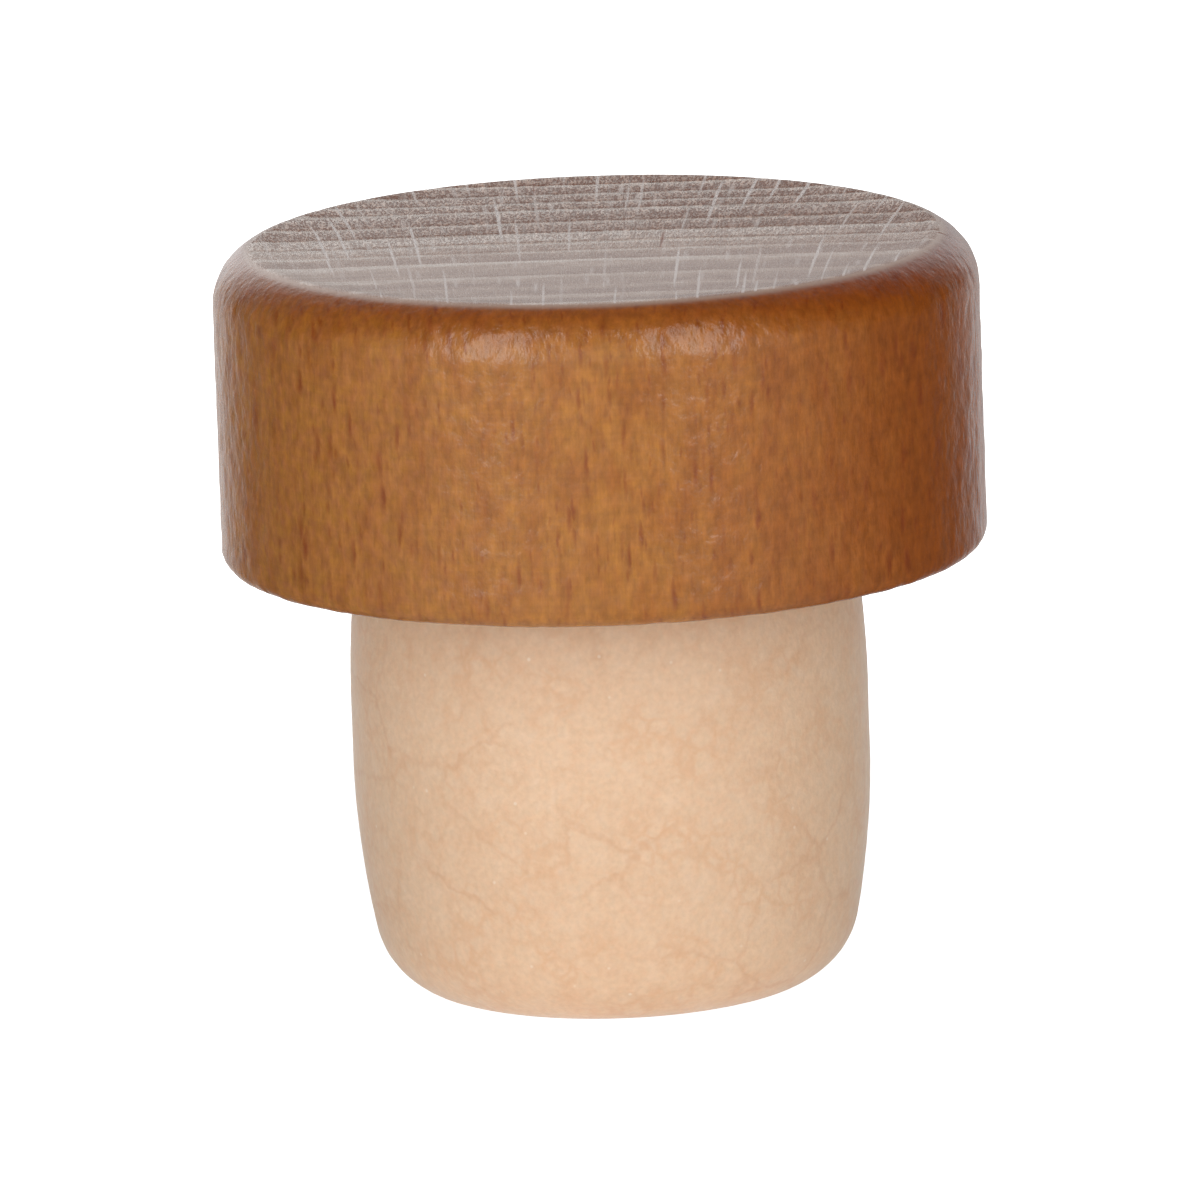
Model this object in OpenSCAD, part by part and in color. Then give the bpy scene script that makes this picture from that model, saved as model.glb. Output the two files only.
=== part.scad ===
// Bottle stopper: a turned wooden head glued on a moulded cork shank.
// Z runs up the stopper's axis, and z = 0 is the flat lower end of the shank.

/* [Head] */
// Diameter of the head
head_d = 28.8; // [26:0.1:40]
// Height of the head, from its underside to the rim of its top face
head_h = 12; // [11:0.1:20]
// Radius of the round that runs from the side up to the top face
rim_round = 2.15; // [1.9:0.05:4]
// Width of that round, from the side in to the edge of the top face
rim_w = 1.45; // [0.6:0.05:1.8]
// Depth of the shallow hollow turned into the top face
hollow = 0.25; // [0.1:0.05:1]
// Radius of the small round at the underside's outer edge
foot_round = 0.7; // [0.2:0.05:1.5]

/* [Shank] */
// Diameter of the shank at its widest, which seals in the bottle's mouth
shank_d = 19.5; // [17:0.1:24]
// Length of the shank below the head
shank_l = 16.6; // [15:0.1:22]
// Height of the sealing land's lower edge above the lower end
land_z = 9; // [7:0.1:9.5]
// Length of the straight sealing land
land_l = 2.2; // [1.5:0.1:3.5]
// Radius of the long arc that draws the shank in below the land
lower_arc = 32; // [20:1:80]
// Radius of the long arc that draws the shank in above the land
upper_arc = 45; // [40:1:120]
// Radius of the rounded lower end
end_round = 3.2; // [1.5:0.1:4]

/* [Joint] */
// Diameter of the spigot on top of the shank
spigot_d = 10; // [6:0.1:11]
// Length of the spigot
spigot_l = 6; // [3:0.1:7]
// Chamfer at the spigot's tip
spigot_chamfer = 0.6; // [0.2:0.1:1]
// Glue space round the spigot, on the radius
glue_side = 0.1; // [0.05:0.01:0.3]
// Glue space above the spigot
glue_end = 0.6; // [0.2:0.1:1]

/* [Hidden] */
$fn = 180;
// Straight pieces that one arc of a profile is drawn with
arc_steps = 16;

head_r = head_d / 2;
head_z = shank_l;
top_z = head_z + head_h;
foot_x = head_r - foot_round;
foot_z = head_z + foot_round;

// The rim's round is tangent to the side and ends at the top face's edge
face_r = head_r - rim_w;
rim_x = head_r - rim_round;
rim_turn = acos((face_r - rim_x) / rim_round);
rim_z = top_z - rim_round * sin(rim_turn);

// The hollow is a cap of a large sphere through the top face's edge
hollow_r = (pow(face_r, 2) + pow(hollow, 2)) / (2 * hollow);
hollow_z = top_z - hollow + hollow_r;

spigot_r = spigot_d / 2;
tip_z = shank_l + spigot_l;
bore_r = spigot_r + glue_side;
bore_z = tip_z + glue_end;

land_r = shank_d / 2;
land_top = land_z + land_l;

// The lower arc is tangent to the land, and the lower end's round to that arc
lower_x = land_r - lower_arc;
lower_turn = asin((land_z - end_round) / (lower_arc - end_round));
round_x = lower_x + (lower_arc - end_round) * cos(lower_turn);

// The upper arc is tangent to the land and ends under the head
upper_x = land_r - upper_arc;
upper_turn = asin((shank_l - land_top) / upper_arc);
neck_r = upper_x + upper_arc * cos(upper_turn);

// Points along an arc, but for its last one, where the next stretch begins
function arc(centre, radius, from, to) = [
    for (i = [0:arc_steps - 1])
        let (turn = from + (to - from) * i / arc_steps)
        centre + radius * [cos(turn), sin(turn)]
];

// Half section of the head: the bore, the foot, the rim and the hollow
head_profile = concat(
    [[0, bore_z], [bore_r, bore_z], [bore_r, head_z]],
    arc([foot_x, foot_z], foot_round, -90, 0),
    [[head_r, foot_z]],
    arc([rim_x, rim_z], rim_round, 0, rim_turn),
    arc([0, hollow_z], hollow_r, -acos(face_r / hollow_r), -90),
    [[0, top_z - hollow]]
);

// Half section of the shank: the round end, the barrel, the shoulder and the spigot
shank_profile = concat(
    [[0, 0]],
    arc([round_x, end_round], end_round, -90, -lower_turn),
    arc([lower_x, land_z], lower_arc, -lower_turn, 0),
    [[land_r, land_z]],
    arc([upper_x, land_top], upper_arc, 0, upper_turn),
    [[neck_r, shank_l], [spigot_r, shank_l]],
    [[spigot_r, tip_z - spigot_chamfer], [spigot_r - spigot_chamfer, tip_z], [0, tip_z]]
);

module wooden_head() {
    color("#a5682f") rotate_extrude() polygon(head_profile);
}

module cork_shank() {
    color("#e0bb9b") rotate_extrude() polygon(shank_profile);
}

wooden_head();
cork_shank();
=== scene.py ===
# A turned beech bottle stopper with a moulded cork shank, on a white studio sweep
import math

import bpy
from mathutils import Matrix, Vector


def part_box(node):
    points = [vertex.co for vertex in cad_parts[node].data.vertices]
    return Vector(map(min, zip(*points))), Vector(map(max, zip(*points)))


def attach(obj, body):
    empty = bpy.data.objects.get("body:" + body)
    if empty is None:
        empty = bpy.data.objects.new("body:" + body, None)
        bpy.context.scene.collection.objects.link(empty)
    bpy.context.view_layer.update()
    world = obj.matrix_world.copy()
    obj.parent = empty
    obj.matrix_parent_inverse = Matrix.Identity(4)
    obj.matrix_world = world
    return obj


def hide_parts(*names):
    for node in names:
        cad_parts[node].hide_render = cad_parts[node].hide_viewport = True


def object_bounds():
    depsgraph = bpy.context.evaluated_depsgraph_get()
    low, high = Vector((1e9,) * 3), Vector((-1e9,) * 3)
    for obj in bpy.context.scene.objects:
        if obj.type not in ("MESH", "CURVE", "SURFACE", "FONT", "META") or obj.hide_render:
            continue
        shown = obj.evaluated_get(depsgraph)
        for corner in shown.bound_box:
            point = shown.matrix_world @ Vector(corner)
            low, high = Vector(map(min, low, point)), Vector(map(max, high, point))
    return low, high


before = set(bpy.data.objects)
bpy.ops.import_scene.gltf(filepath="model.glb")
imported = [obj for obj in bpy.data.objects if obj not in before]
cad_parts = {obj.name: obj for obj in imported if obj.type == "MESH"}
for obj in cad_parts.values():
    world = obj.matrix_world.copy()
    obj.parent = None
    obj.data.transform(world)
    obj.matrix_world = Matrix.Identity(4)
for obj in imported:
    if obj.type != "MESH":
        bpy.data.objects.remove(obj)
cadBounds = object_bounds()
metre = 0.001     # every size below is in mm
weld = 0.004      # points closer than this become one
sharpBend = 40    # degrees; an edge that bends more than this stays crisp


def addNode(tree, kind, inputs=(), stops=(), **settings):
    # Inputs go in by order or by name, and a node stands for its first output in use. Stops fill a
    # ramp: the first two are its own ends. A kind with no family named is a shader node
    family = "" if kind.startswith(("GeometryNode", "FunctionNode", "NodeGroup")) else "ShaderNode"
    node = tree.nodes.new(family + kind)
    for name, value in settings.items():
        setattr(node, name, value)
    live = [socket for socket in node.inputs if socket.enabled]
    if isinstance(inputs, dict):
        pairs = [(next(s for s in live if s.name == name), value) for name, value in inputs.items()]
    else:
        pairs = list(zip(live, inputs))
    for socket, value in pairs:
        if isinstance(value, bpy.types.Node):
            value = next(s for s in value.outputs if s.enabled)
        if isinstance(value, bpy.types.NodeSocket):
            tree.links.new(value, socket)
        else:
            socket.default_value = value
    for index, (place, tone) in enumerate(stops):
        ramp = node.color_ramp.elements
        stop = ramp[index] if index < 2 else ramp.new(place)
        stop.position = place
        stop.color = linear(tone) if isinstance(tone, str) else (tone, tone, tone, 1)
    return node


def linear(code):
    # sRGB hex to the linear colour that Blender works in
    parts = [int(code[i:i + 2], 16) / 255 for i in (1, 3, 5)]
    return tuple(c / 12.92 if c <= 0.04045 else ((c + 0.055) / 1.055) ** 2.4 for c in parts) + (1,)


def newMaterial(name):
    material = bpy.data.materials.new(name)
    material.use_nodes = True
    tree = material.node_tree
    tree.nodes.clear()
    return material, tree


# Profiles

def arcPoints(centre, radius, start, end, spacing):
    # Points along an arc but its last one; the angles are in degrees
    steps = max(2, round(abs(math.radians(end - start)) * radius / spacing))
    turns = [math.radians(start + (end - start) * i / steps) for i in range(steps)]
    return [(centre[0] + radius * math.cos(t), centre[1] + radius * math.sin(t)) for t in turns]


def linePoints(start, end, spacing):
    # Points along a straight line but its last one
    steps = max(1, round(math.dist(start, end) / spacing))
    return [tuple(a + (b - a) * i / steps for a, b in zip(start, end)) for i in range(steps)]


head = {
    "rimRound": 2.15,      # radius of the round from the side to the top face
    "rimTurn": 62,         # degrees of that round before it eases over the lip
    "lipRound": 1.15,      # radius of the lip, whose highest point is level with the top
    "lipTurn": 6.5,        # degrees that the lip turns down into the hollow
    "coveRound": 13.0,     # radius of the cove between the lip and the hollow
    "hollow": 0.18,        # depth of the hollow in the top face
    "footRound": 0.7,      # round at the underside's edge
    "boreRadius": 5.1,
    "boreDepth": 6.6,
    "boreFade": 2.0,       # the relief fades in over this width round the bore
    "around": 480,         # faces round the piece
    "spacing": 0.2,        # rows along the profile
    "grooveDepth": 0.026,  # a growth ring's groove in the end grain
    "grooveOnSide": 0.3,   # share of that groove where the surface faces outward
    "endFacing": (0.4, 0.95),   # the lumps fade as a surface turns up, where 1 faces straight up
    "lumpHeight": 0.11,    # lumps that sanding and lacquer leave on the side
    "lumpWidth": 0.85,
    "lumpLength": 1.0,
    "seed": 3.0,
}


def headProfile(low, high):
    # Half section of the head, from the bore's end round to the middle of the top face
    outer, bottom, top = high.x / metre, low.z / metre, high.z / metre
    fine, coarse = head["spacing"], 1.5
    bore, boreTop = head["boreRadius"], bottom + head["boreDepth"]
    foot, rim, lip, rimTurn = head["footRound"], head["rimRound"], head["lipRound"], head["rimTurn"]
    cosine, sine = math.cos(math.radians(rimTurn)), math.sin(math.radians(rimTurn))
    rimX, lipX = outer - rim, outer - rim + (rim - lip) * cosine
    rimZ, lipZ = top - lip - (rim - lip) * sine, top - lip
    turn, cove, hollow = head["lipTurn"], head["coveRound"], head["hollow"]
    inward, upward = math.sin(math.radians(turn)), math.cos(math.radians(turn))
    coveX, coveZ = lipX - (lip + cove) * inward, lipZ + (lip + cove) * upward
    drop = hollow - (lip + cove) * (1 - upward)
    bowl = (coveX ** 2 + drop ** 2) / (2 * drop)   # the bowl's radius beyond the cove's
    slope = math.degrees(math.asin(coveX / bowl))
    points = linePoints((0, boreTop), (bore, boreTop), coarse)
    points += linePoints((bore, boreTop), (bore, bottom), coarse)
    points += linePoints((bore, bottom), (outer - foot, bottom), 2.2 * fine)
    points += arcPoints((outer - foot, bottom + foot), foot, -90, 0, 0.6 * fine)
    points += linePoints((outer, bottom + foot), (outer, rimZ), fine)
    points += arcPoints((rimX, rimZ), rim, 0, rimTurn, 0.6 * fine)
    points += arcPoints((lipX, lipZ), lip, rimTurn, 90 + turn, 0.5 * fine)
    points += arcPoints((coveX, coveZ), cove, turn - 90, slope - 90, fine)
    points += arcPoints((0, top - hollow + cove + bowl), cove + bowl, slope - 90, -90, fine)
    return points + [(0, top - hollow)]


shank = {
    "landZ": 9.0,          # lower edge of the straight sealing land
    "landLength": 2.2,
    "lowerArc": 32.0,
    "upperArc": 45.0,
    "endRound": 3.2,
    "spigotRadius": 5.0,
    "spigotChamfer": 0.6,
    "around": 480,
    "spacing": 0.135,
    "skinHeight": 0.035,   # the moulded skin's fine unevenness
    "skinSize": 0.55,
    "swellHeight": 0.10,   # slow swells of the foam
    "swellSize": 7.0,
    "neckFade": 0.5,       # the relief fades in over this height below the head
    "footFade": 0.3,       # and above the lower end
    "seed": 11.0,
}


def shankProfile(low, high, neckZ):
    # Half section of the shank, from the tip of its spigot down to the middle of the lower end
    top = high.z / metre
    land, landZ, landTop = high.x / metre, shank["landZ"], shank["landZ"] + shank["landLength"]
    lower, upper, end = shank["lowerArc"], shank["upperArc"], shank["endRound"]
    spigot, chamfer, fine = shank["spigotRadius"], shank["spigotChamfer"], shank["spacing"]
    lowerX, upperX = land - lower, land - upper
    lowerTurn = math.degrees(math.asin((landZ - end) / (lower - end)))
    upperTurn = math.degrees(math.asin((neckZ - landTop) / upper))
    roundX = lowerX + (lower - end) * math.cos(math.radians(lowerTurn))
    points = arcPoints((lowerX, landZ), lower, 0, -lowerTurn, fine)
    points += arcPoints((roundX, end), end, -lowerTurn, -90, fine)
    points += linePoints((roundX, 0), (0, 0), 1.5 * fine)
    points += [(0, 0)]
    neck = upperX + upper * math.cos(math.radians(upperTurn))
    start = linePoints((0, top), (spigot - chamfer, top), 1.5)
    start += linePoints((spigot - chamfer, top), (spigot, top - chamfer), 1.5)
    start += linePoints((spigot, top - chamfer), (spigot, neckZ), 1.5)
    start += linePoints((spigot, neckZ), (neck, neckZ), 1.0)
    start += arcPoints((upperX, landTop), upper, upperTurn, 0, fine)
    start += linePoints((land, landTop), (land, landZ), fine)
    return (start + points)[::-1]


# Wood grain, shared by the shape and the finish

beech = {
    "pith": (-1.5, -86.0),    # centre of the growth rings, from the head's axis
    # Where each ring ends, outward from the axis, and its tone, where 0.5 is the usual one
    "ringLines": (-12.4, -10.4, -8.6, -6.2, -3.2, -1.3, 0.35, 2.25, 4.3, 6.8, 8.2, 9.7, 11.4, 13.1),
    "ringShades": (0.5, 0.4, 0.52, 0.5, 0.34, 0.66, 0.86, 0.42, 0.52, 0.54, 0.53, 0.46, 0.52, 0.5),
    "paintedShadeToRight": -0.015,         # painted shade: change of the rings' tone for each mm to the right, darkening the right of the top for its weaker reflection
    "ringWaver": 0.14,        # how far a ring line strays
    "waverScale": (0.14, 0.10, 0.05),   # waves of that straying to the mm
    # Across one ring, from the last line to the next: the groove's height, and the tone where the
    # grain shows clearly and where it is soft under thick lacquer
    "groove": ((0.0, 0.0), (1.0, 0.0), (0.1, 0.8), (0.3, 0.95), (0.84, 1.0), (0.95, 0.45)),
    "clearTones": ((0.0, 0.1), (1.0, 0.95), (0.08, 0.0), (0.18, 0.24), (0.5, 0.36), (0.72, 0.6),
                   (0.88, 1.0)),
    "softTones": ((0.0, 0.25), (1.0, 0.62), (0.2, 0.1), (0.5, 0.15), (0.8, 0.55)),
    "clearFrom": -7.0,        # the rings turn from soft to clear between these places outward
    "clearTo": -0.5,
    "openFrom": -5.0,         # the lacquer fills the pores on the near side and leaves them open beyond
    "openTo": 5.0,
    "openLeast": 0.15,
    "lipTone": 0.42,          # the lip is worn smooth, to one tone
    # Surfaces by how far they face up, where 1 is straight up: end grain, flat top, slope of the rim
    "endFacing": (0.85, 0.985),
    "flatFacing": (0.968, 0.992),
    "soakFacing": (0.15, 0.9),
    # Rays: the room for each one and its size, along the ring, outward and upward. Beech has broad
    # ones of up to 0.3 mm by a few mm, and many fine ones
    "rayCell": (0.85, 11.0, 60.0),     # long ones in the end grain
    "raySize": (0.16, 11.0, 90.0),
    "rayChance": (0.12, 0.5),          # the draws that a ray begins to show at and is full at
    "rayFaint": 0.15,                  # share that they lose under thick lacquer
    "rayCore": 0.5,                    # share of a ray's width at full strength
    "rayBend": 0.0004,                 # how much more the rays fan out beyond the middle
    "ghostCell": (0.75, 3.2, 60.0),    # short broad ones, faint under the lacquer
    "ghostSize": (0.3, 3.0, 90.0),
    "ghostChance": (0.3, 1.2),
    "fleckCell": (0.62, 1.2, 1.5),     # short ones, cut across on the side
    "fleckSize": (0.34, 1.2, 1.7),
    "fleckStrength": 0.68,
    "dashCell": (0.42, 1.1, 0.8),      # and fainter ones between them
    "dashSize": (0.2, 0.9, 0.75),
    "dashStrength": 0.5,
    "fleckWobble": 0.14,
    "checks": (((4.05, 0.2, 28.4), (0.2, 5.6, 4.0)), ((-0.65, 10.7, 28.4), (0.12, 3.2, 4.0)),
               ((14.5, 0.0, 28.2), (1.0, 0.3, 4.0))),   # small cracks: each one's place and size
    # Sizes of the noises, in the same directions, and how finely each is broken up
    "poreSize": (0.062, 0.27, 3.0),    # as wide as a beech's pores
    "striaSize": (0.1, 1.1, 3.0),
    "fibreSize": (0.11, 0.11, 1.3),    # fibres are 0.02 mm wide; these are bundles, drawn coarser
    "latheSize": (3.0, 3.0, 0.13),     # faint turning marks
    "mottleSize": (0.34, 0.34, 0.55),
    "dimpleSize": (0.42, 0.42, 0.42),  # lacquer that sank in unevenly
    "driftSize": (1.0, 1.0, 2.2),
    "bandSize": (9.0, 0.7, 30.0),      # tone from ring to ring
    "hazeSize": (1.1, 0.8, 30.0),      # blotches in the lacquered end grain
    "noiseDetail": {"pore": 1.0, "stria": 1.0, "fibre": 2.0, "lathe": 1.0, "mottle": 3.0, "dimple": 2.0,
                    "drift": 2.0, "band": 2.0, "haze": 4.0},
    "sideSpread": {"mottle": 0.16, "fibre": 0.05, "lathe": 0.033},   # how far each shifts the tone
    "ringSpread": {"band": 0.18, "haze": 0.2},
    "striaSpread": (0.86, 1.42),
    "poreEdge": (0.56, 0.41),          # where the noise turns into a pore
    "poreRing": (0.88, 0.78),          # a ring's dense last part has fewer pores
    "poreShare": (0.08, 0.85),         # share of them in that part and in the rest
    # Stain: golden on the left flank and red on the right one, in mm to the right
    "flanks": (-11.0, 15.0),
    "flankDrift": 6.0,                 # how far that change wanders
    "patchShare": (-0.2, 0.5),         # how much darker patches and rosy spots cover it
    "roseShare": 0.6,
    "stainGolden": "#A76D2C",
    "stainMiddle": "#AE712D",
    "stainRed": "#954B10",
    "stainPatch": "#92501A",
    "stainRose": "#A0603C",
    "fleckStain": "#7F3613",
    "soakTint": "#E2C2B2",
    "endDark": "#97684F",
    "endMiddle": "#B8927B",
    "endPale": "#E4CFC1",
    "poreDark": "#874F36",
    "rayPale": "#E6D3CB",
    "checkStain": "#A05C42",
    # Relief too fine for the mesh, in mm
    "fibreRise": 0.005,
    "mottleRise": 0.02,
    "dimpleRise": 0.036,
    "striaRise": 0.012,
    "poreDepth": 0.03,
    "checkDepth": 0.03,
    "gloss": 0.24,            # roughness of the lacquer
    "poreGloss": 0.5,         # roughness down in an open pore, at a dulness of 1
    "sideDull": 0.12,         # dulness of the side, of dark rings and of pores
    "ringDull": 0.48,
    "poreDull": 0.8,
}


def grainPlace(tree, place):
    # From a place in metres to mm along the rings, out from the pith and up the trunk
    pithX, pithY = beech["pith"]
    size = 1 / metre
    fromPith = addNode(tree, "VectorMath", [place, (size, size, size), (-pithX, -pithY, 0)],
                       operation="MULTIPLY_ADD")
    parts = addNode(tree, "SeparateXYZ", [fromPith])
    flat = addNode(tree, "VectorMath", [fromPith, (1, 1, 0)], operation="MULTIPLY")
    radius = addNode(tree, "VectorMath", [flat], operation="LENGTH")
    angle = addNode(tree, "Math", [parts.outputs["X"], parts.outputs["Y"]], operation="ARCTAN2")
    along = addNode(tree, "Math", [angle, -pithY], operation="MULTIPLY")
    outward = addNode(tree, "Math", [radius, pithY], operation="ADD")
    straight = addNode(tree, "CombineXYZ", [along, outward, parts.outputs["Z"]])
    slow = addNode(tree, "VectorMath", [straight, beech["waverScale"]], operation="MULTIPLY")
    sway = addNode(tree, "TexNoise", {"Vector": slow, "Scale": 1.0, "Detail": 2.0, "Roughness": 0.55})
    centred = addNode(tree, "VectorMath", [sway.outputs["Color"], (0.5, 0.5, 0.5)],
                      operation="SUBTRACT")
    waver = beech["ringWaver"] * 2
    return addNode(tree, "VectorMath", [centred, (waver, waver, 0), straight],
                   operation="MULTIPLY_ADD")


def openness(tree, grain):
    # How far the pores stand open: from almost filled on the near side to open on the far side
    parts = addNode(tree, "SeparateXYZ", [grain])
    return addNode(tree, "MapRange", {"Value": parts.outputs["Y"], "From Min": beech["openFrom"],
                                      "From Max": beech["openTo"], "To Min": beech["openLeast"],
                                      "To Max": 1.0}, interpolation_type="SMOOTHSTEP")


def ringShare(tree, grain):
    # Where a place lies among the rings, from 0 to 1, each line's own share, and a line's width
    lines = beech["ringLines"]
    low, high = lines[0] - 1, lines[-1] + 1
    parts = addNode(tree, "SeparateXYZ", [grain])
    share = addNode(tree, "MapRange", {"Value": parts.outputs["Y"], "From Min": low, "From Max": high})
    return share, [(line - low) / (high - low) for line in lines], 0.12 / (high - low)


def ringPhase(tree, grain):
    # 0 just outside a ring's line, rising to 1 at the next line
    share, lines, width = ringShare(tree, grain)
    stops = []
    for line in lines:
        stops += [(line, 1.0), (line + width, 0.0)]
    return addNode(tree, "ValToRGB", [share], stops=stops)


def ringShade(tree, grain):
    # How much paler or darker each ring is than the usual one
    share, lines, width = ringShare(tree, grain)
    shade = addNode(tree, "ValToRGB", [share], stops=list(zip(lines, beech["ringShades"])))
    shade.color_ramp.interpolation = "CONSTANT"
    return addNode(tree, "Math", [shade, 0.5], operation="SUBTRACT")


# Turning: a half section swept round Z by geometry nodes

def turningTree(name, reliefHeight):
    tree = bpy.data.node_groups.new(name, "GeometryNodeTree")
    tree.is_modifier = True
    tree.interface.new_socket("Half Section", in_out="INPUT", socket_type="NodeSocketGeometry")
    tree.interface.new_socket("Faces Round", in_out="INPUT", socket_type="NodeSocketInt")
    for label in ("Relief Height", "Relief Width", "Relief Length", "Detail Height", "Seed"):
        tree.interface.new_socket(label, in_out="INPUT", socket_type="NodeSocketFloat")
    tree.interface.new_socket("Material", in_out="INPUT", socket_type="NodeSocketMaterial")
    tree.interface.new_socket("Piece", in_out="OUTPUT", socket_type="NodeSocketGeometry")
    given = tree.nodes.new("NodeGroupInput").outputs
    section = given["Half Section"]
    rows = addNode(tree, "GeometryNodeAttributeDomainSize", [section]).outputs["Point Count"]
    columns = addNode(tree, "Math", [given["Faces Round"], 1.0], operation="ADD")
    grid = addNode(tree, "GeometryNodeMeshGrid", {"Vertices X": columns, "Vertices Y": rows})

    # A grid's vertex number gives its column, so its turn, and its row, so its point of the section
    index = addNode(tree, "GeometryNodeInputIndex")
    row = addNode(tree, "Math", [index, rows], operation="MODULO")
    column = addNode(tree, "Math", [index, rows], operation="DIVIDE")
    column = addNode(tree, "Math", [column, 0.0001], operation="ADD")
    column = addNode(tree, "Math", [column], operation="FLOOR")
    turn = addNode(tree, "Math", [column, given["Faces Round"]], operation="DIVIDE")
    turn = addNode(tree, "Math", [turn, math.tau], operation="MULTIPLY")
    own = addNode(tree, "GeometryNodeInputPosition")
    sampled = addNode(tree, "GeometryNodeSampleIndex", {"Geometry": section, "Value": own, "Index": row},
                      data_type="FLOAT_VECTOR", domain="POINT")
    placed = addNode(tree, "VectorRotate", {"Vector": sampled, "Angle": turn}, rotation_type="Z_AXIS")
    weight = addNode(tree, "GeometryNodeInputNamedAttribute", {"Name": "relief"}, data_type="FLOAT")
    share = addNode(tree, "GeometryNodeSampleIndex", {"Geometry": section, "Value": weight, "Index": row},
                    data_type="FLOAT", domain="POINT")
    kept = addNode(tree, "GeometryNodeStoreNamedAttribute",
                   {"Geometry": grid, "Name": "relief", "Value": share}, data_type="FLOAT", domain="POINT")
    turned = addNode(tree, "GeometryNodeSetPosition", {"Geometry": kept, "Position": placed})
    joined = addNode(tree, "GeometryNodeMergeByDistance", {"Geometry": turned, "Distance": weld * metre})

    # Relief along the normals, in mm
    height = reliefHeight(tree, addNode(tree, "GeometryNodeInputPosition"), given)
    height = addNode(tree, "Math", [height, weight], operation="MULTIPLY")
    height = addNode(tree, "Math", [height, metre], operation="MULTIPLY")
    normal = addNode(tree, "GeometryNodeInputNormal")
    offset = addNode(tree, "VectorMath", {"Vector": normal, "Scale": height}, operation="SCALE")
    raised = addNode(tree, "GeometryNodeSetPosition", {"Geometry": joined, "Offset": offset})

    bend = addNode(tree, "GeometryNodeInputMeshEdgeAngle").outputs["Unsigned Angle"]
    sharp = addNode(tree, "FunctionNodeCompare", {"A": bend, "B": math.radians(sharpBend)},
                    operation="GREATER_THAN")
    smooth = addNode(tree, "GeometryNodeSetShadeSmooth", {"Geometry": raised, "Shade Smooth": True})
    edged = addNode(tree, "GeometryNodeSetShadeSmooth",
                    {"Geometry": smooth, "Selection": sharp, "Shade Smooth": False}, domain="EDGE")
    whole = addNode(tree, "GeometryNodeRealizeInstances", [edged])
    dressed = addNode(tree, "GeometryNodeSetMaterial", {"Geometry": whole, "Material": given["Material"]})
    addNode(tree, "NodeGroupOutput", [dressed])
    return tree


def headRelief(tree, place, given):
    # Lumps on the side, and a groove along each ring on the end grain
    size = 1 / metre
    inMm = addNode(tree, "VectorMath", {"Vector": place, "Scale": size}, operation="SCALE")
    stretch = addNode(tree, "CombineXYZ",
                      [given["Relief Width"], given["Relief Width"], given["Relief Length"]])
    lumpPlace = addNode(tree, "VectorMath", [inMm, stretch], operation="DIVIDE")
    lumps = addNode(tree, "TexNoise", {"Vector": lumpPlace, "W": given["Seed"], "Scale": 1.0,
                                       "Detail": 1.5, "Roughness": 0.5}, noise_dimensions="4D")
    lumps = addNode(tree, "Math", [lumps, 0.5], operation="SUBTRACT")
    lumps = addNode(tree, "Math", [lumps, given["Relief Height"]], operation="MULTIPLY")
    grain = grainPlace(tree, place)
    groove = addNode(tree, "ValToRGB", [ringPhase(tree, grain)], stops=beech["groove"])
    groove = addNode(tree, "Math", [groove, given["Detail Height"]], operation="MULTIPLY")
    groove = addNode(tree, "Math", [groove, openness(tree, grain)], operation="MULTIPLY")
    normal = addNode(tree, "GeometryNodeInputNormal")
    facing = addNode(tree, "SeparateXYZ", [normal])
    low, high = head["endFacing"]
    endGrain = addNode(tree, "MapRange", {"Value": facing.outputs["Z"], "From Min": low,
                                          "From Max": high})
    share = addNode(tree, "MapRange", {"Value": endGrain, "To Min": head["grooveOnSide"],
                                       "To Max": 1.0})
    lumps = addNode(tree, "Mix", [endGrain, lumps, 0.0], data_type="FLOAT")
    return addNode(tree, "Math", [groove, share, lumps], operation="MULTIPLY_ADD")


def shankRelief(tree, place, given):
    # Slow swells of the foam under a finely uneven moulded skin
    size = 1 / metre
    inMm = addNode(tree, "VectorMath", {"Vector": place, "Scale": size}, operation="SCALE")
    fine = addNode(tree, "Math", [1.0, given["Relief Width"]], operation="DIVIDE")
    skin = addNode(tree, "TexNoise", {"Vector": inMm, "W": given["Seed"], "Scale": fine, "Detail": 2.0,
                                      "Roughness": 0.6}, noise_dimensions="4D")
    skin = addNode(tree, "Math", [skin, 0.5], operation="SUBTRACT")
    skin = addNode(tree, "Math", [skin, given["Relief Height"]], operation="MULTIPLY")
    slow = addNode(tree, "Math", [1.0, given["Relief Length"]], operation="DIVIDE")
    swell = addNode(tree, "TexNoise", {"Vector": inMm, "W": given["Seed"], "Scale": slow, "Detail": 1.0},
                    noise_dimensions="4D")
    swell = addNode(tree, "Math", [swell, 0.5], operation="SUBTRACT")
    return addNode(tree, "Math", [swell, given["Detail Height"], skin], operation="MULTIPLY_ADD")


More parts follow.
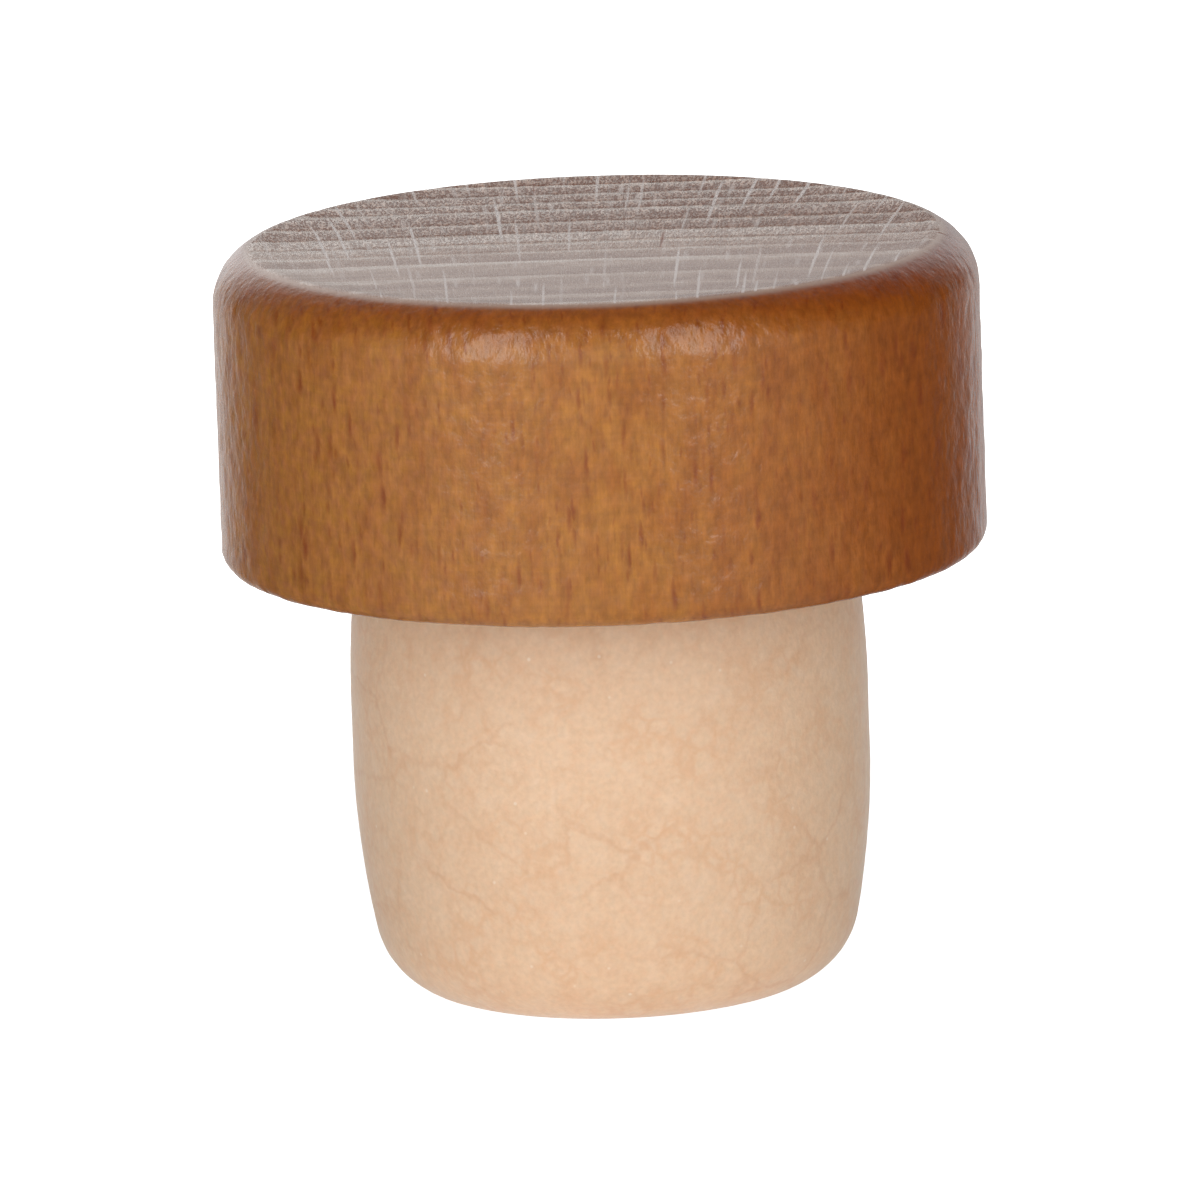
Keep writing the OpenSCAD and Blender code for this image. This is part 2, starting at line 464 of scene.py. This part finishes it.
def turnPiece(name, tree, section, sizes, material):
    # section holds (radius, height, share of the relief) for each point
    mesh = bpy.data.meshes.new(name + "Section")
    mesh.from_pydata([(r * metre, 0, z * metre) for r, z, w in section],
                     [(i, i + 1) for i in range(len(section) - 1)], [])
    mesh.attributes.new("relief", "FLOAT", "POINT").data.foreach_set("value", [w for r, z, w in section])
    blank = bpy.data.objects.new(name + "Section", mesh)
    bpy.context.collection.objects.link(blank)
    modifier = blank.modifiers.new("Turning", "NODES")
    modifier.node_group = tree
    values = dict(sizes, Material=material)
    for item in tree.interface.items_tree:
        if item.in_out == "INPUT" and item.name in values:
            modifier[item.identifier] = values[item.name]
    bpy.context.view_layer.update()
    seen = blank.evaluated_get(bpy.context.evaluated_depsgraph_get())
    made = bpy.data.meshes.new_from_object(seen)
    made.name = name
    bpy.data.objects.remove(blank)
    piece = bpy.data.objects.new(name, made)
    bpy.context.collection.objects.link(piece)
    print(name, len(made.vertices), "vertices", len(made.polygons), "faces")
    return piece


# Finishes

def lens(tree, apart, softness=0.0):
    # 1 in the middle of an ellipsoid, falling to 0 at its surface; apart is in half sizes
    reach = addNode(tree, "VectorMath", [apart], operation="LENGTH")
    return addNode(tree, "MapRange", {"Value": reach, "From Min": 1.0, "From Max": softness},
                   interpolation_type="SMOOTHSTEP")


def scatteredRays(tree, place, cell, size, rare=0.0, full=0.8, softness=0.0):
    # Rays: each a thin upright sheet in its own cell, of random strength
    spread = addNode(tree, "VectorMath", [place, cell], operation="DIVIDE")
    cells = addNode(tree, "TexVoronoi", {"Vector": spread, "Scale": 1.0, "Randomness": 1.0})
    apart = addNode(tree, "VectorMath", [spread, cells.outputs["Position"]], operation="SUBTRACT")
    halves = tuple(2 * c / s for c, s in zip(cell, size))
    apart = addNode(tree, "VectorMath", [apart, halves], operation="MULTIPLY")
    chance = addNode(tree, "SeparateXYZ", [cells.outputs["Color"]])
    strength = addNode(tree, "MapRange", {"Value": chance.outputs["X"], "From Min": rare,
                                            "From Max": full})
    return addNode(tree, "Math", [lens(tree, apart, softness), strength], operation="MULTIPLY")


def blend(tree, share, first, second, kind="MIX"):
    return addNode(tree, "Mix", {"Factor": share, "A": first, "B": second}, data_type="RGBA",
                   blend_type=kind)


def spreadTone(tree, noise, low, high):
    # A noise keeps near its middle, so that part of it is stretched from low to high
    return addNode(tree, "MapRange", {"Value": noise, "From Min": 0.3, "From Max": 0.7,
                                      "To Min": low, "To Max": high})


def grainNoises(tree, grain):
    noises = {}
    for name, detail in beech["noiseDetail"].items():
        spread = addNode(tree, "VectorMath", [grain, beech[name + "Size"]], operation="DIVIDE")
        noises[name] = addNode(tree, "TexNoise", {"Vector": spread, "Scale": 1.0, "Detail": detail})
    return noises


def facingShare(tree, upward, name):
    # 0 to 1 over one of the named spans of how far a surface faces up
    low, high = beech[name + "Facing"]
    return addNode(tree, "MapRange", {"Value": upward, "From Min": low, "From Max": high},
                   interpolation_type="SMOOTHSTEP")


def sideFinish(tree, across, upward, grain, noises):
    # Golden on one flank and redder on the other, patched and mottled, with dark flecks
    drift = addNode(tree, "Math", [noises["drift"], beech["flankDrift"], across],
                    operation="MULTIPLY_ADD")
    low, high = beech["flanks"]
    flank = addNode(tree, "MapRange", {"Value": drift, "From Min": low, "From Max": high})
    side = addNode(tree, "ValToRGB", [flank],
                   stops=[(0.0, beech["stainGolden"]), (1.0, beech["stainRed"]),
                          (0.55, beech["stainMiddle"])])
    patch = spreadTone(tree, noises["drift"], *beech["patchShare"])
    side = blend(tree, patch, side, linear(beech["stainPatch"]))
    rose = spreadTone(tree, noises["dimple"], 0.0, beech["roseShare"])
    golden = addNode(tree, "Math", [1.0, flank], operation="SUBTRACT")
    rose = addNode(tree, "Math", [rose, golden], operation="MULTIPLY")
    side = blend(tree, rose, side, linear(beech["stainRose"]))
    for name, reach in beech["sideSpread"].items():
        side = blend(tree, 1.0, side, spreadTone(tree, noises[name], 1 - reach, 1 + reach), "MULTIPLY")
    wobble = beech["fleckWobble"]
    stray = addNode(tree, "VectorMath",
                    [noises["mottle"].outputs["Color"], (2 * wobble, wobble, 0), grain],
                    operation="MULTIPLY_ADD")
    for name in ("dash", "fleck"):
        ray = scatteredRays(tree, stray, beech[name + "Cell"], beech[name + "Size"])
        ray = addNode(tree, "Math", [ray, beech[name + "Strength"]], operation="MULTIPLY")
        side = blend(tree, ray, side, linear(beech["fleckStain"]))

    # The rim's slope is open end grain, which drinks more of the stain
    soaked = blend(tree, 1.0, side, linear(beech["soakTint"]), "MULTIPLY")
    side = blend(tree, facingShare(tree, upward, "soak"), side, soaked)
    relief = addNode(tree, "Math", [noises["fibre"], beech["fibreRise"]], operation="MULTIPLY")
    for name in ("mottle", "dimple"):
        relief = addNode(tree, "Math", [noises[name], beech[name + "Rise"], relief],
                         operation="MULTIPLY_ADD")
    return side, relief


def ringTones(tree, phase, clearness, across, grain, noises):
    # Tone of the end grain's rings, from 0 for dark to 1 for pale
    clear, soft = (addNode(tree, "ValToRGB", [phase], stops=beech[name])
                   for name in ("clearTones", "softTones"))
    tone = addNode(tree, "Mix", [clearness, soft, clear], data_type="FLOAT")
    # Painted shade: the tone darkens towards the right, in place of the weaker reflection there
    tone = addNode(tree, "Math", [across, beech["paintedShadeToRight"], tone], operation="MULTIPLY_ADD")
    tone = addNode(tree, "Math", [tone, ringShade(tree, grain)], operation="ADD", use_clamp=True)
    for name, reach in beech["ringSpread"].items():
        patchy = spreadTone(tree, noises[name], -reach, reach)
        tone = addNode(tree, "Math", [tone, patchy], operation="ADD", use_clamp=True)
    return tone


def paleRays(tree, clearness, grain):
    # Rays in the end grain: long thin ones that fan out, and short broad ones
    parts = addNode(tree, "SeparateXYZ", [grain])
    fan = addNode(tree, "Math", [parts.outputs["Y"], 2.0], operation="POWER")
    fan = addNode(tree, "Math", [fan, -beech["rayBend"], 1.0], operation="MULTIPLY_ADD")
    fan = addNode(tree, "Math", [fan, parts.outputs["X"]], operation="MULTIPLY")
    fanned = addNode(tree, "CombineXYZ", [fan, parts.outputs["Y"], parts.outputs["Z"]])
    ray = scatteredRays(tree, fanned, beech["rayCell"], beech["raySize"], *beech["rayChance"],
                        beech["rayCore"])
    faint = addNode(tree, "Math", [clearness, beech["rayFaint"], 1 - beech["rayFaint"]],
                    operation="MULTIPLY_ADD")
    ray = addNode(tree, "Math", [ray, faint], operation="MULTIPLY")
    ghost = scatteredRays(tree, fanned, beech["ghostCell"], beech["ghostSize"], *beech["ghostChance"])
    return addNode(tree, "Math", [ray, ghost], operation="MAXIMUM")


def endFinish(tree, across, flat, grain, noises):
    # Growth rings that pale towards their line, with pores, and pale rays across them. The lip is
    # worn smooth, so all of it fades out there
    parts = addNode(tree, "SeparateXYZ", [grain])
    clearness = addNode(tree, "MapRange", {"Value": parts.outputs["Y"],
                                           "From Min": beech["clearFrom"],
                                           "From Max": beech["clearTo"]})
    phase = ringPhase(tree, grain)
    tone = ringTones(tree, phase, clearness, across, grain, noises)
    tone = addNode(tree, "Mix", [flat, beech["lipTone"], tone], data_type="FLOAT")
    end = addNode(tree, "ValToRGB", [tone],
                  stops=[(0.0, beech["endDark"]), (1.0, beech["endPale"]), (0.5, beech["endMiddle"])])
    opened = addNode(tree, "Math", [openness(tree, grain), flat], operation="MULTIPLY")
    ray = addNode(tree, "Math", [paleRays(tree, clearness, grain), flat], operation="MULTIPLY")
    clear = addNode(tree, "Math", [1.0, ray], operation="SUBTRACT")
    low, high = beech["poreEdge"]
    pore = addNode(tree, "MapRange", {"Value": noises["pore"], "From Min": low, "From Max": high},
                   interpolation_type="SMOOTHSTEP")
    pit = addNode(tree, "Math", [pore, opened], operation="MULTIPLY")
    late, early = beech["poreRing"]
    few, many = beech["poreShare"]
    between = addNode(tree, "MapRange", {"Value": phase, "From Min": late, "From Max": early,
                                         "To Min": few, "To Max": many})
    for share in (between, opened, clear):
        pore = addNode(tree, "Math", [pore, share], operation="MULTIPLY")
    streaks = spreadTone(tree, noises["stria"], *beech["striaSpread"])
    end = blend(tree, opened, end, streaks, "MULTIPLY")
    end = blend(tree, pore, end, linear(beech["poreDark"]))
    end = blend(tree, ray, end, linear(beech["rayPale"]))

    groove = addNode(tree, "ValToRGB", [phase], stops=beech["groove"])
    groove = addNode(tree, "Math", [groove, opened], operation="MULTIPLY")
    relief = addNode(tree, "Math", [noises["stria"], beech["striaRise"]], operation="MULTIPLY")
    relief = addNode(tree, "Math", [pit, -beech["poreDepth"], relief], operation="MULTIPLY_ADD")
    relief = addNode(tree, "Math", [groove, head["grooveDepth"], relief], operation="MULTIPLY_ADD")

    dull = addNode(tree, "MapRange", {"Value": tone, "From Min": 0.0, "From Max": 0.5,
                                      "To Min": beech["ringDull"], "To Max": 0.0})
    dull = addNode(tree, "Math", [dull, opened], operation="MULTIPLY")
    dull = addNode(tree, "Math", [pore, beech["poreDull"], dull], operation="MULTIPLY_ADD")
    dull = addNode(tree, "Math", [dull, clear], operation="MULTIPLY")
    return end, relief, dull


def smallCracks(tree, grain):
    # 1 along the middle of each small crack, 0 away from them
    cracked = 0.0
    for centre, size in beech["checks"]:
        apart = addNode(tree, "VectorMath", [grain, centre], operation="SUBTRACT")
        apart = addNode(tree, "VectorMath", [apart, tuple(2 / s for s in size)],
                        operation="MULTIPLY")
        cracked = addNode(tree, "Math", [lens(tree, apart), cracked], operation="MAXIMUM")
    return cracked


def beechMaterial():
    # Beech turned on a lathe, stained nut brown and lacquered satin: dense and warm, short
    # red-brown flecks on the side, pale rings and rays under a soft sheen on the end grain
    material, tree = newMaterial("stainedBeech")
    place = addNode(tree, "TexCoord")
    parts = addNode(tree, "SeparateXYZ", [place.outputs["Object"]])
    across = addNode(tree, "Math", [parts.outputs["X"], 1 / metre], operation="MULTIPLY")
    grain = grainPlace(tree, place.outputs["Object"])
    noises = grainNoises(tree, grain)
    upward = addNode(tree, "SeparateXYZ", [place.outputs["Normal"]]).outputs["Z"]
    upright = addNode(tree, "Math", [upward], operation="ABSOLUTE")
    endGrain = facingShare(tree, upright, "end")
    flat = facingShare(tree, upright, "flat")
    side, sideRelief = sideFinish(tree, across, upward, grain, noises)
    end, endRelief, endDull = endFinish(tree, across, flat, grain, noises)
    cracked = smallCracks(tree, grain)

    colour = blend(tree, endGrain, side, end)
    colour = blend(tree, cracked, colour, linear(beech["checkStain"]))
    relief = addNode(tree, "Mix", [endGrain, sideRelief, endRelief], data_type="FLOAT")
    relief = addNode(tree, "Math", [cracked, -beech["checkDepth"], relief],
                     operation="MULTIPLY_ADD")
    bump = addNode(tree, "Bump", {"Strength": 1.0, "Distance": metre, "Height": relief})
    dull = addNode(tree, "Mix", [endGrain, beech["sideDull"], endDull], data_type="FLOAT")
    dull = addNode(tree, "Math", [dull, cracked], operation="MAXIMUM")
    gloss = addNode(tree, "MapRange", {"Value": dull, "To Min": beech["gloss"],
                                       "To Max": beech["poreGloss"]})
    shader = addNode(tree, "BsdfPrincipled", {"Base Color": colour, "Roughness": gloss, "IOR": 1.5,
                                              "Normal": bump})
    addNode(tree, "OutputMaterial", [shader])
    return material


cork = {
    "pale": "#E8CAAD",
    "middle": "#E5C3A2",
    "warm": "#E2BA97",
    "vein": "#DCA97E",
    "crease": "#CE966C",
    "speck": "#F6E8DA",
    "veinGap": 0.8,       # size of the granules that the veins part
    "veinWidth": 0.26,    # both widths are shares of the gap
    "veinMost": 0.36,     # strength of the strongest vein
    "creaseGap": 4.4,     # room between the long creases
    "creaseWidth": 0.04,
    "creaseMost": 0.26,
    "strayReach": 0.9,    # how far veins and creases stray
    "speckGap": 1.3,
    "speckEdge": (0.07, 0.03),
    "speckMost": 0.45,
    "grit": 0.22,         # the foam's cells are about 0.1 mm wide, drawn coarser
    "gritSpread": 0.045,  # how far the cells shift the tone
    "gritRise": 0.02,     # and how high they stand
    "roughness": 0.5,
    "seeThrough": 0.3,    # share of the light that goes through the skin and comes out near by
    "dust": 0.45,         # strength of the pale sheen towards the edges
}


def corkMaterial():
    # Moulded cork-coloured foam: matt and slightly see-through, with pale granules parted by
    # faint orange veins, a few hairline creases, and a dusty edge
    material, tree = newMaterial("mouldedCork")
    place = addNode(tree, "TexCoord")
    size = 1 / metre
    inMm = addNode(tree, "VectorMath", {"Vector": place.outputs["Object"], "Scale": size},
                   operation="SCALE")
    stray = addNode(tree, "TexNoise", {"Vector": inMm, "Scale": 1.2, "Detail": 2.0, "Roughness": 0.5})
    reach = cork["strayReach"]
    strayed = addNode(tree, "VectorMath", [stray.outputs["Color"], (reach, reach, reach), inMm],
                      operation="MULTIPLY_ADD")
    clouds = addNode(tree, "TexNoise", {"Vector": inMm, "Scale": 1.6, "Detail": 4.0, "Roughness": 0.7})
    grit = addNode(tree, "TexNoise", {"Vector": inMm, "Scale": 1 / cork["grit"], "Detail": 2.0})
    colour = addNode(tree, "ValToRGB", [clouds],
                     stops=[(0.22, cork["warm"]), (0.78, cork["pale"]), (0.49, cork["middle"])])
    spread = cork["gritSpread"]
    colour = blend(tree, 1.0, colour, spreadTone(tree, grit, 1 - spread, 1 + spread), "MULTIPLY")

    # Veins round the granules and creases far apart, each in some places only
    for name in ("vein", "crease"):
        gap = cork[name + "Gap"]
        edge = addNode(tree, "TexVoronoi", {"Vector": strayed, "Scale": 1 / gap},
                       feature="DISTANCE_TO_EDGE")
        line = addNode(tree, "MapRange", {"Value": edge, "From Min": cork[name + "Width"],
                                          "From Max": 0.0}, interpolation_type="SMOOTHSTEP")
        part = addNode(tree, "TexNoise", {"Vector": strayed, "Scale": 0.45 / gap ** 0.5, "Detail": 1.0})
        part = addNode(tree, "MapRange", {"Value": part, "From Min": 0.42, "From Max": 0.64,
                                          "To Min": 0.0, "To Max": cork[name + "Most"]})
        line = addNode(tree, "Math", [line, part], operation="MULTIPLY")
        colour = blend(tree, line, colour, linear(cork[name]))
    cells = addNode(tree, "TexVoronoi", {"Vector": inMm, "Scale": 1 / cork["speckGap"]})
    low, high = cork["speckEdge"]
    speck = addNode(tree, "MapRange", {"Value": cells.outputs["Distance"], "From Min": low,
                                       "From Max": high, "To Max": cork["speckMost"]})
    colour = blend(tree, speck, colour, linear(cork["speck"]))

    relief = addNode(tree, "Math", [grit, cork["gritRise"]], operation="MULTIPLY")
    bump = addNode(tree, "Bump", {"Strength": 1.0, "Distance": metre, "Height": relief})
    shader = addNode(tree, "BsdfPrincipled",
                     {"Base Color": colour, "Roughness": cork["roughness"], "IOR": 1.45,
                      "Subsurface Weight": cork["seeThrough"], "Subsurface Radius": (1.0, 0.7, 0.5),
                      "Subsurface Scale": 0.8 * metre, "Sheen Weight": cork["dust"],
                      "Sheen Roughness": 0.36, "Normal": bump})
    addNode(tree, "OutputMaterial", [shader])
    return material


# Studio

lamps = {   # azimuth from the camera's side, to the right; sizes and distance in mm; glow of the panel
    "leftPanel": {"azimuth": -33, "elevation": 26, "distance": 600, "width": 150, "height": 600,
                  "glow": 4.8},
    "rightPanel": {"azimuth": 29, "elevation": 26, "distance": 600, "width": 130, "height": 600,
                   "glow": 4.8},
}
sweep = {
    "radius": 1500,
    "corners": 64,
    "gap": 0.02,               # how far it lies below the piece
    "paper": "#F0F0F0",
    "glow": 1.9,               # how bright the floor looks where nothing shades it
    "shadow": 0.45,            # share of its look that is the light on it, which keeps the shadow
    "shadowReach": (40, 70),   # that share ends between these distances
    "underlight": 0.27,        # the soft light that it sends up
    "frontShine": 0.55,        # its brightness in reflections near the piece, as a share of the wall's
    "backShine": 0.95,
    "shineReach": (100, 800),  # and it grows to the wall's own between these distances
}
room = {   # brightness of the walls by direction, from the camera's side round to the back
    "walls": ((0.0, 0.95), (1.0, 0.95), (0.2, 0.7), (0.42, 0.2), (0.6, 0.06), (0.79, 0.12), (0.86, 0.38),
              (0.915, 0.66), (0.95, 0.92)),
    # and by height, where 1 is straight up: in front, behind, and a little aside of that
    "frontFade": ((0.2, 1.0), (0.6, 0.08)),
    "backFade": ((0.13, 0.65), (1.0, 0.1), (0.17, 0.8), (0.2, 1.05), (0.26, 1.15), (0.42, 1.0),
                 (0.53, 0.7), (0.79, 0.4), (0.92, 0.12)),
    "flankFade": ((0.02, 1.35), (0.95, 0.12), (0.25, 1.35), (0.45, 1.15), (0.75, 0.5)),
    "aside": (0.07, 0.16),   # where the one fade behind turns into the other
    "edge": (0.3, 0.62),     # where the bright back ends aside
    "edgeLeast": 0.2,
    "behind": (0.4, 0.7),    # where the front's fade turns into the back's
    "spread": 0.25,          # how much wider the bright back is higher up
    # and from the left to the right
    "lean": ((0.0, 1.05), (1.0, 1.02), (0.41, 1.3), (0.59, 0.7), (0.72, 1.12)),
}
view = {"distance": 750, "elevation": 11.714, "roll": -1.994, "aim": (-0.25, 0, 14.74), "lens": 597.3}


def direction(azimuth, elevation):
    # Azimuth 0 is the camera's side, -Y, and it grows to the right
    a, e = math.radians(azimuth), math.radians(elevation)
    return Vector((math.sin(a) * math.cos(e), -math.cos(a) * math.cos(e), math.sin(e)))


def buildLamps():
    aim = (cadBounds[0] + cadBounds[1]) / 2
    for name, size in lamps.items():
        lamp = bpy.data.lights.new(name, "AREA")
        lamp.shape = "RECTANGLE"
        lamp.size = size["width"] * metre
        lamp.size_y = size["height"] * metre
        lamp.energy = size["glow"] * math.pi * lamp.size * lamp.size_y
        stand = bpy.data.objects.new(name, lamp)
        bpy.context.collection.objects.link(stand)
        outward = direction(size["azimuth"], size["elevation"])
        stand.location = aim + outward * size["distance"] * metre
        stand.rotation_euler = outward.to_track_quat("Z", "Y").to_euler()


def wallTone(tree, way):
    # Brightness of the room in a direction but for the fade with height, and how far round to the back
    level = addNode(tree, "VectorMath", [way, (1, 1, 0)], operation="MULTIPLY")
    level = addNode(tree, "VectorMath", [level], operation="NORMALIZE")
    parts = addNode(tree, "SeparateXYZ", [level])
    depth = addNode(tree, "MapRange", {"Value": parts.outputs["Y"], "From Min": -1.0,
                                       "From Max": 1.0})
    height = addNode(tree, "SeparateXYZ", [way])
    height = addNode(tree, "Math", [height.outputs["Z"], 0.0], operation="MAXIMUM")
    wider = addNode(tree, "Math", [height, room["spread"], depth], operation="MULTIPLY_ADD")
    walls = addNode(tree, "ValToRGB", [wider], stops=room["walls"])
    lean = addNode(tree, "MapRange", {"Value": parts.outputs["X"], "From Min": -1.0,
                                      "From Max": 1.0})
    lean = addNode(tree, "ValToRGB", [lean], stops=room["lean"])
    return blend(tree, 1.0, walls, lean, "MULTIPLY"), depth


def buildSweep():
    # White floor: it keeps a soft shadow, and glows where the camera or a reflection sees it
    material, tree = newMaterial("whiteSweep")
    material.cycles.emission_sampling = "NONE"   # too wide to be worth aiming at as a lamp
    path = addNode(tree, "LightPath")
    white = (1, 1, 1, 1)
    paper = addNode(tree, "BsdfDiffuse", {"Color": linear(sweep["paper"])})
    glow = addNode(tree, "Emission", {"Color": white, "Strength": sweep["glow"]})
    where = addNode(tree, "TexCoord")
    far = addNode(tree, "VectorMath", [where.outputs["Object"]], operation="LENGTH")
    near, beyond = (distance * metre for distance in sweep["shadowReach"])
    shaded = addNode(tree, "MapRange", {"Value": far, "From Min": near, "From Max": beyond,
                                        "To Min": sweep["shadow"], "To Max": 0.0})
    lit = addNode(tree, "MixShader", [shaded, glow, paper])
    under = addNode(tree, "Emission", {"Color": white, "Strength": sweep["underlight"]})
    lifted = addNode(tree, "AddShader", [paper, under])
    walls, depth = wallTone(tree, where.outputs["Object"])
    shine = addNode(tree, "MapRange", {"Value": depth, "To Min": sweep["frontShine"],
                                       "To Max": sweep["backShine"]})
    near, beyond = (distance * metre for distance in sweep["shineReach"])
    nearness = addNode(tree, "MapRange", {"Value": far, "From Min": near, "From Max": beyond,
                                          "To Min": shine, "To Max": 1.0})
    gleam = addNode(tree, "Emission", {"Color": walls, "Strength": nearness})
    seen = addNode(tree, "MixShader", [path.outputs["Is Glossy Ray"], lifted, gleam])
    shown = addNode(tree, "MixShader", [path.outputs["Is Camera Ray"], seen, lit])
    addNode(tree, "OutputMaterial", [shown])
    mesh = bpy.data.meshes.new("floor")
    radius = sweep["radius"] * metre
    turns = [t * math.tau / sweep["corners"] for t in range(sweep["corners"])]
    corners = [(radius * math.cos(t), radius * math.sin(t), -sweep["gap"] * metre) for t in turns]
    mesh.from_pydata(corners, [], [range(len(corners))])
    mesh.materials.append(material)
    floor = bpy.data.objects.new("floor", mesh)
    bpy.context.collection.objects.link(floor)


def buildWorld():
    # A white screen behind, a bright front, dim sides and a dark ceiling
    world = bpy.data.worlds.new("studio")
    bpy.context.scene.world = world
    world.use_nodes = True
    tree = world.node_tree
    tree.nodes.clear()
    path = addNode(tree, "LightPath")
    where = addNode(tree, "TexCoord")
    parts = addNode(tree, "SeparateXYZ", [where.outputs["Generated"]])
    walls, depth = wallTone(tree, where.outputs["Generated"])
    front, back, flank = (addNode(tree, "ValToRGB", [parts.outputs["Z"]], stops=room[name])
                          for name in ("frontFade", "backFade", "flankFade"))
    aside = addNode(tree, "Math", [parts.outputs["X"]], operation="ABSOLUTE")
    begin, end = room["aside"]
    within = addNode(tree, "MapRange", {"Value": aside, "From Min": begin, "From Max": end})
    begin, end = room["edge"]
    edge = addNode(tree, "MapRange", {"Value": aside, "From Min": begin, "From Max": end,
                                      "To Min": 1.0, "To Max": room["edgeLeast"]})
    back = blend(tree, 1.0, blend(tree, within, back, flank), edge, "MULTIPLY")
    begin, end = room["behind"]
    side = addNode(tree, "MapRange", {"Value": depth, "From Min": begin, "From Max": end})
    around = blend(tree, 1.0, walls, blend(tree, side, front, back), "MULTIPLY")
    dim = addNode(tree, "Background", {"Color": around, "Strength": 1.0})
    bright = addNode(tree, "Background", {"Color": (1, 1, 1, 1), "Strength": 1.0})
    mixed = addNode(tree, "MixShader", [path.outputs["Is Camera Ray"], dim, bright])
    addNode(tree, "OutputWorld", [mixed])


def buildCamera():
    data = bpy.data.cameras.new("camera")
    data.lens = view["lens"]
    data.sensor_width = 36
    data.clip_end = 20
    camera = bpy.data.objects.new("camera", data)
    bpy.context.collection.objects.link(camera)
    outward = direction(0, view["elevation"])
    place = (Vector(view["aim"]) + outward * view["distance"]) * metre
    right = Vector((1, 0, 0))
    up = outward.cross(right)
    roll = Matrix.Rotation(math.radians(view["roll"]), 4, "Z")
    axes = Matrix((right, up, outward)).transposed().to_4x4()
    camera.matrix_world = Matrix.Translation(place) @ axes @ roll
    bpy.context.scene.camera = camera


def turnHead(wood):
    low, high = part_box("wooden_head")
    neckZ, slack = low.z / metre, 0.01
    section = []
    for r, z in headProfile(low, high):
        underneath = z < neckZ + slack
        hidden = r < head["boreRadius"] + slack and z < neckZ + head["boreDepth"] + slack
        fade = min(1, max(0, (r - head["boreRadius"]) / head["boreFade"]))
        share = fade if underneath else 1
        section.append((r, z, 0 if hidden else share))
    sizes = {"Faces Round": head["around"], "Relief Height": head["lumpHeight"],
             "Relief Width": head["lumpWidth"], "Relief Length": head["lumpLength"],
             "Detail Height": head["grooveDepth"], "Seed": head["seed"]}
    return turnPiece("turned_head", turningTree("turnedHead", headRelief), section, sizes, wood)


def mouldShank(foam):
    low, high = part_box("cork_shank")
    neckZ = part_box("wooden_head")[0].z / metre
    section = []
    for r, z in shankProfile(low, high, neckZ):
        share = min(1, max(0, (neckZ - z) / shank["neckFade"])) * min(1, z / shank["footFade"])
        section.append((r, z, share))
    sizes = {"Faces Round": shank["around"], "Relief Height": shank["skinHeight"],
             "Relief Width": shank["skinSize"], "Relief Length": shank["swellSize"],
             "Detail Height": shank["swellHeight"], "Seed": shank["seed"]}
    return turnPiece("moulded_shank", turningTree("mouldedShank", shankRelief), section, sizes, foam)


def build():
    buildCamera()
    buildWorld()
    buildLamps()
    buildSweep()
    print("studio ready")
    turned, moulded = turnHead(beechMaterial()), mouldShank(corkMaterial())
    for piece, node, slot in ((turned, "wooden_head", "head_wood"), (moulded, "cork_shank", "shank_cork")):
        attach(piece, "root")
        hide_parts(node)
    print("pieces ready")


build()
bpy.context.scene.view_settings.view_transform = "Standard"
